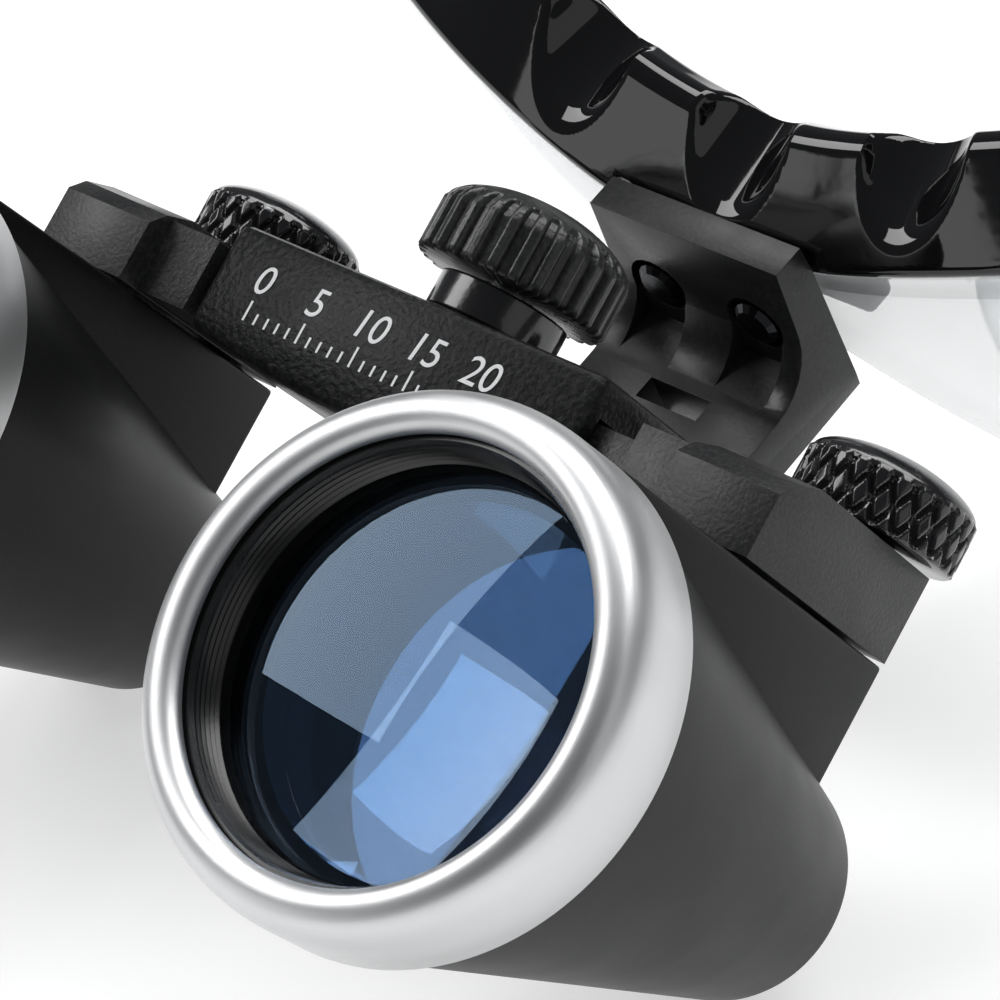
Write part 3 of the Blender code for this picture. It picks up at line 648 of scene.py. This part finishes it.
# ---------------------------------------------------------------- bar and scale
@dataclass
class Scale:
    """A plain printed scale on the bar's front, with figures over its long marks."""

    first: float = -14.0
    count: int = 23
    pitch: float = 1.0
    group: int = 5              # marks from one long mark to the next
    base: float = -4.3
    front: float = -9.03
    figure_height: float = 3.0

    def build(self) -> None:
        """Builds the marks and figures as one thin printed layer."""
        bm = bmesh.new()
        for number in range(self.count):
            x = self.first + number * self.pitch
            long_mark = number % self.group == 0
            tall = 1.5 if long_mark else 0.8
            merge_in(bm, self.bar(x - 0.09, x + 0.09, self.base, self.base + tall))
            if long_mark:
                merge_in(bm, self.figure(str(number), x, self.base + 2.1))
        add_piece("printed_scale", bm, Drawing.LOUPES, PAINT, "carrier")

    def bar(self, left: float, right: float, low: float, high: float) -> bmesh.types.BMesh:
        """Makes one mark as a thin plate on the bar's face.

        Args:
            left: Its left side along X.
            right: Its right side along X.
            low: Its lower end along Z.
            high: Its upper end along Z.

        Returns:
            The plate.
        """
        bm = bmesh.new()
        bmesh.ops.create_cube(bm, size=1.0)
        bmesh.ops.scale(bm, vec=(right - left, 0.03, high - low), verts=bm.verts)
        bmesh.ops.translate(bm, vec=((left + right) / 2, self.front, (low + high) / 2), verts=bm.verts)
        return bm

    def figure(self, text: str, x: float, z: float) -> bmesh.types.BMesh:
        """Makes a figure as a thin plate, centred over its mark.

        Args:
            text: The figure.
            x: The middle of the mark.
            z: The foot of the figure.

        Returns:
            The plate.
        """
        curve = bpy.data.curves.new("figure", "FONT")
        curve.body = text
        curve.size = self.figure_height
        curve.extrude = 0.015
        curve.shear = 0.15
        curve.align_x = "CENTER"
        holder = bpy.data.objects.new("figure", curve)
        bpy.context.scene.collection.objects.link(holder)
        mesh = bpy.data.meshes.new_from_object(holder)
        bm = bmesh.new()
        bm.from_mesh(mesh)
        bpy.data.objects.remove(holder)
        bpy.data.meshes.remove(mesh)
        bmesh.ops.rotate(bm, verts=bm.verts, matrix=Matrix.Rotation(math.pi / 2, 3, "X"))
        bmesh.ops.translate(bm, vec=(x, self.front, z), verts=bm.verts)
        return bm


# ---------------------------------------------------------------- spectacles
def brow_rise(x: float) -> float:
    """Returns the height of the brow's lower front edge: low over the nose, level past each eye."""
    return -8.9 + 6.2 * (1.0 - math.exp(-((x / 22.0) ** 2)))


def soft_min(a: float, b: float, width: float) -> float:
    """Finds the lesser of two heights, with their crossing rounded.

    Args:
        a: One height.
        b: The other height.
        width: How far apart the heights are where the rounding starts.

    Returns:
        The rounded lesser height.
    """
    mix = max(0.0, width - abs(a - b)) / width
    return min(a, b) - mix * mix * width * 0.25


@dataclass
class Brow:
    """The scalloped brow bar with its hinge blocks at each end."""

    radius: float = 82.0
    front: float = 21.46
    end: float = 49.5
    step: float = 11.3
    floor: float = 2.4
    climb: float = 0.2126
    scoop: float = 4.5
    temple: tuple[float, float, float] = (64.6, 57.0, -1.2)
    end_gap: float = 3.7        # the brow stops this far in front of the temple's pivot

    def shape(self, co: Vector, centre: Vector) -> None:
        """Shapes one point of the plain bar: the scallops, the rise, the ends and the bracket's notch.

        Args:
            co: The point, moved in place.
            centre: The centre of the brow's curve.
        """
        arm = Vector((co.x, co.y - centre.y))
        back = self.radius - arm.length
        angle = math.degrees(math.atan2(arm.x, -arm.y))
        number = max(-3, min(3, round(angle / self.step)))
        across = math.radians(angle - number * self.step) * (self.radius - 2.4) / self.scoop
        bowl = self.scoop * (1.0 - math.sqrt(max(0.0, 1.0 - across * across)))
        low = self.floor + (back - self.floor) * self.climb + bowl
        if abs(across) < 1.0 and co.z > -1.0:
            co.z = soft_min(co.z, max(low, 0.9), 0.8)
        co.z += brow_rise(co.x)
        co.y = min(co.y, self.temple[1] - self.end_gap)
        width = 8.5 + 0.42 * max(0.0, -4.9 - co.z) if co.z > -8.6 else 10.1
        if abs(co.x) < width and co.z < -4.8 and co.y < 23.0:
            co.y = 23.0

    def build(self) -> None:
        """Builds the brow and its hinge blocks as one moulding."""
        section = [(0.2, 0.8), (0.2, 0.15), (2.6, -2.6), (3.4, -2.6), (9.9, 3.9), (9.9, 4.9),
                   (7.9, 6.9), (6.5, 6.9)]
        outline = dense(rounded(section, 0.9, 4), 0.3, True)
        bm = bmesh.new()
        centre = Vector((0.0, self.front + self.radius, 0.0))
        verts = [bm.verts.new((0.0, self.front + back, up)) for back, up in outline]
        edges = [bm.edges.new(pair) for pair in zip(verts, verts[1:] + verts[:1])]
        bmesh.ops.rotate(bm, cent=centre, verts=verts,
                         matrix=Matrix.Rotation(-math.radians(self.end), 3, "Z"))
        cap = bmesh.ops.edgeloop_fill(bm, edges=edges)["faces"]
        bmesh.ops.spin(bm, geom=cap, cent=centre, axis=(0, 0, 1), angle=2 * math.radians(self.end),
                       steps=480)
        for vert in bm.verts:
            self.shape(vert.co, centre)
        x, y, z = self.temple
        for _, sign in SIDES:
            inner, outer = sorted((sign * (x - 5.6), sign * (x + 2.3)))
            merge_in(bm, block((inner, y - 9.5, z - 5.2), (outer, y - 3.6, z + 5.2), 0.9))
            for height in (3.95, -3.95):
                merge_in(bm, block((sign * x - 2.0, y - 4.6, z + height - 1.25),
                                   (sign * x + 2.0, y + 2.0, z + height + 1.25), 0.4))
        add_piece("scalloped_brow", bm, Drawing.SPECTACLES, GLOSS, "spectacles", ["brow_frame"], 60.0)


@dataclass
class ShieldLens:
    """The clear wrap-round lens, cut away over the nose."""

    radius: float = 90.0
    front: float = 23.06
    thickness: float = 1.8
    half_width: float = 57.6
    drop: float = 46.2

    def lower(self) -> list[Point2]:
        """Returns the half outline of the lower edge, from the nose outwards."""
        return [(0.0, -16.2), (3.6, -17.2), (8.1, -21.3), (12.4, -26.1), (16.2, -31.5), (19.6, -38.4),
                (24.0, -44.0), (30.0, -self.drop), (37.0, -self.drop), (44.0, -44.2), (50.0, -38.2),
                (54.6, -29.2), (57.0, -19.0), (self.half_width, -8.6)]

    def lower_at(self, x: float, points: Sequence[Point2]) -> float:
        """Finds the height of the lower edge.

        Args:
            x: Distance from the middle, either way.
            points: The half outline of the lower edge.

        Returns:
            The height.
        """
        for (a, b), (c, d) in zip(points, points[1:]):
            if a <= abs(x) <= c:
                return b + (d - b) * (abs(x) - a) / max(c - a, 1e-6)
        return points[-1][1]

    def build(self) -> None:
        """Builds the lens."""
        bm = bmesh.new()
        bmesh.ops.create_grid(bm, x_segments=220, y_segments=48, size=1.0)
        edge = rounded(self.lower(), 3.0, 6, closed=False)
        for vert in bm.verts:
            x = self.half_width * math.sin(vert.co.x * math.pi / 2 * 0.999)
            low, high = self.lower_at(x, edge), brow_rise(x) - 3.3
            z = low + (high - low) * (vert.co.y + 1.0) / 2.0
            radius = self.radius - (z + 6.0) ** 2 / 135.0
            vert.co = Vector((x, self.front + self.radius - math.sqrt(radius ** 2 - x * x), z))
        bmesh.ops.recalc_face_normals(bm, faces=bm.faces)
        if sum(face.normal.y for face in bm.faces) > 0:
            bmesh.ops.reverse_faces(bm, faces=bm.faces)
        bmesh.ops.solidify(bm, geom=bm.faces[:], thickness=self.thickness)
        soften(bm, 0.25, 50.0, 2)
        add_piece("clear_shield", bm, Drawing.SPECTACLES, SHADE_TINTED_POLYCARBONATE, "spectacles",
                  ["shield_lens"], 40.0)


@dataclass
class Temple:
    """One folding temple and its soft tip."""

    side: str
    sign: float
    x: float = 64.6
    y: float = 57.0
    z: float = -1.2
    length: float = 106.0
    straight: float = 0.66
    bend: float = 34.0
    arm_end: float = 0.58

    def ring(self, part: float, half_width: float, half_height: float) -> list[Vector]:
        """Places the rounded cross-section at one part of the temple.

        Args:
            part: How far along the temple it is, from 0 to 1.
            half_width: Half its width.
            half_height: Half its height.

        Returns:
            The points round the cross-section.
        """
        along = part * self.length
        bend_from = self.length * self.straight
        x = self.sign * (self.x + 1.2 * math.sin(part * math.pi) - 3.0 * part)
        angle = max(0.0, (along - bend_from) / self.bend)
        y = self.y + 3.3 + min(along, bend_from) + self.bend * math.sin(angle)
        z = self.z - self.bend * (1 - math.cos(angle))
        up = Vector((0.0, math.sin(angle), math.cos(angle)))
        made = []
        for number in range(24):
            turn = math.tau * number / 24
            a, b = math.cos(turn), math.sin(turn)
            a, b = math.copysign(abs(a) ** 0.6, a), math.copysign(abs(b) ** 0.6, b)
            made.append(Vector((x + a * half_width, y, z)) + up * b * half_height)
        return made

    def build(self) -> None:
        """Builds the arm with its hinge leaf, and the tip."""
        steps = 28
        rings = [self.ring(self.arm_end * n / steps, 1.6, 4.2 - 1.2 * n / steps) for n in range(steps + 1)]
        bm = sweep(rings)
        leaf = rounded([(0.0, 2.3), (2.4, 2.3), (2.4, -2.3), (0.0, -2.3)], 0.25, 3, closed=False)
        merge_in(bm, lathe(leaf, 48, (self.sign * self.x, self.y, self.z)))
        merge_in(bm, block((self.sign * self.x - 1.55, self.y, self.z - 2.2),
                           (self.sign * self.x + 1.55, self.y + 4.2, self.z + 2.2), 0.2))
        add_piece(f"temple_arm_{self.side}", bm, Drawing.SPECTACLES, GLOSS, f"temple_{self.side}",
                  [f"temple_{self.side}"], 50.0)
        start, steps = self.arm_end - 0.01, 36
        rings = []
        for number in range(steps + 1):
            t = number / steps
            swell = math.sin(math.pi * t)
            close = min(1.0, 0.92 + 3.0 * t, 0.45 + 7.0 * (1 - t))
            rings.append(self.ring(start + (1 - start) * t, (2.0 + 0.5 * swell) * close,
                                   (3.2 + swell - 0.6 * t) * close))
        add_piece(f"temple_sleeve_{self.side}", sweep(rings), Drawing.SPECTACLES, RUBBER,
                  f"temple_{self.side}", [f"temple_tip_{self.side}"], 50.0)


@dataclass
class NoseCushion:
    """One soft nose pad, leaning in with the side of the nose."""

    side: str
    sign: float
    half: tuple[float, float, float] = (1.7, 4.2, 7.4)
    place: tuple[float, float, float] = (12.2, 36.6, -28.2)
    splay: float = 30.0         # degrees outwards to the rear
    lean: float = -20.0         # degrees in towards the top

    def build(self) -> None:
        """Builds the pad."""
        bm = bmesh.new()
        bmesh.ops.create_uvsphere(bm, u_segments=48, v_segments=24, radius=1.0)
        bmesh.ops.scale(bm, vec=self.half, verts=bm.verts)
        turn = Matrix.Rotation(self.sign * math.radians(self.lean), 3, "Y")
        turn = turn @ Matrix.Rotation(self.sign * math.radians(self.splay), 3, "Z")
        bmesh.ops.rotate(bm, verts=bm.verts, matrix=turn)
        x, y, z = self.place
        bmesh.ops.translate(bm, vec=(self.sign * x, y, z), verts=bm.verts)
        add_piece(f"nose_cushion_{self.side}", bm, Drawing.SPECTACLES, SILICONE, "spectacles",
                  [f"nose_pad_{self.side}"])


# ---------------------------------------------------------------- studio
@dataclass
class Studio:
    """The bench, the softboxes and the camera."""

    target: tuple[float, float, float] = (0.0037, -0.0556, 0.0226)

    def softbox(self, name: str, place: Sequence[float], size: Point2, watts: float,
                width_along: Sequence[float] = (1.0, 0.0, 0.0)) -> None:
        """Adds one rectangular softbox aimed at the object.

        Args:
            name: The light's name.
            place: Where its middle is, in metres.
            size: Its width and height.
            watts: Its power.
            width_along: The direction that its width runs nearest to.
        """
        light = bpy.data.lights.new(name, "AREA")
        light.shape = "RECTANGLE"
        light.size, light.size_y = size
        light.energy = watts
        lamp = bpy.data.objects.new(name, light)
        bpy.context.scene.collection.objects.link(lamp)
        back = (Vector(place) - Vector(self.target)).normalized()
        across = Vector(width_along)
        across = (across - back * across.dot(back)).normalized()
        turn = Matrix((across, back.cross(across), back)).transposed()
        lamp.matrix_world = Matrix.Translation(place) @ turn.to_4x4()

    def bench(self) -> None:
        """Adds the pale bench."""
        bm = bmesh.new()
        bmesh.ops.create_grid(bm, x_segments=1, y_segments=1, size=3.0)
        mesh = bpy.data.meshes.new("bench")
        bm.to_mesh(mesh)
        bm.free()
        floor = bpy.data.objects.new("bench", mesh)
        floor.location = (0.0, 0.0, -0.0002)
        bpy.context.scene.collection.objects.link(floor)
        paper = bpy.data.materials.new("bench_paper")
        paper.use_nodes = True
        shader = paper.node_tree.nodes["Principled BSDF"]
        shader.inputs["Base Color"].default_value = (0.6, 0.6, 0.6, 1.0)
        shader.inputs["Roughness"].default_value = 0.9
        shader.inputs["Specular IOR Level"].default_value = 0.1
        shader.inputs["Emission Color"].default_value = (1.0, 1.0, 1.0, 1.0)
        shader.inputs["Emission Strength"].default_value = 0.55
        mesh.materials.append(paper)

    def camera(self) -> None:
        """Adds the camera, low over the wearer's left telescope."""
        data = bpy.data.cameras.new("camera")
        data.lens = 153.0
        data.sensor_width = 36.0
        data.clip_start = 0.01
        data.clip_end = 20.0
        camera = bpy.data.objects.new("camera", data)
        bpy.context.scene.collection.objects.link(camera)
        turn = Matrix(((0.73498, -0.33474, 0.5897), (0.67553, 0.43688, -0.59396),
                       (-0.05881, 0.83491, 0.54723)))
        camera.matrix_world = Matrix.Translation((0.1725, -0.22691, 0.17928)) @ turn.to_4x4()
        bpy.context.scene.camera = camera

    def build(self) -> None:
        """Builds the studio round the object."""
        world = bpy.data.worlds.new("studio")
        bpy.context.scene.world = world
        world.use_nodes = True
        sky = world.node_tree.nodes["Background"]
        sky.inputs["Color"].default_value = (0.92, 0.95, 1.0, 1.0)
        sky.inputs["Strength"].default_value = 0.12
        bpy.context.scene.view_settings.view_transform = "Standard"
        self.softbox("key", (-0.58, -0.34, 0.585), (0.41, 0.44), 3.0, (0.721, -0.515, 0.464))
        self.softbox("front", (-0.42, -0.75, 0.16), (0.3, 0.22), 0.3)
        self.softbox("over", (-0.3, 0.12, 0.75), (0.4, 0.3), 2.0)
        self.softbox("side", (0.65, -0.1, 0.35), (0.4, 0.5), 0.3)
        self.softbox("top", (0.1, 0.4, 0.75), (0.7, 0.5), 5.6)
        self.bench()
        self.camera()


def main() -> None:
    """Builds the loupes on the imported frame."""
    logging.basicConfig(level=logging.INFO, format="%(message)s")
    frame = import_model()
    nodes = frame["nodes"]
    for side, sign in SIDES:
        Telescope(side, sign).build()
        ThumbScrew(side, sign).build()
        Temple(side, sign).build()
        NoseCushion(side, sign).build()
        refine_node(nodes, f"slide_arm_{side}", 0.22, FINE_GRAIN, f"slide_{side}")
    CentreKnob().build()
    Scale().build()
    Brow().build()
    ShieldLens().build()
    refine_node(nodes, "bar_housing", 0.15, SPARK, "carrier")
    refine_node(nodes, "bridge_bracket", 0.35, MOULDED, "spectacles")
    refine_node(nodes, "nose_bridge", 0.1, MOULDED, "spectacles")
    for name, node in nodes.items():
        for starts, finish in KEPT_NODES:
            if name.startswith(starts):
                node.data.materials.clear()
                node.data.materials.append(finish.build())
                LOG.info("%s: kept from the frame", name)
    Studio().build()


if __name__ == "__main__":
    main()
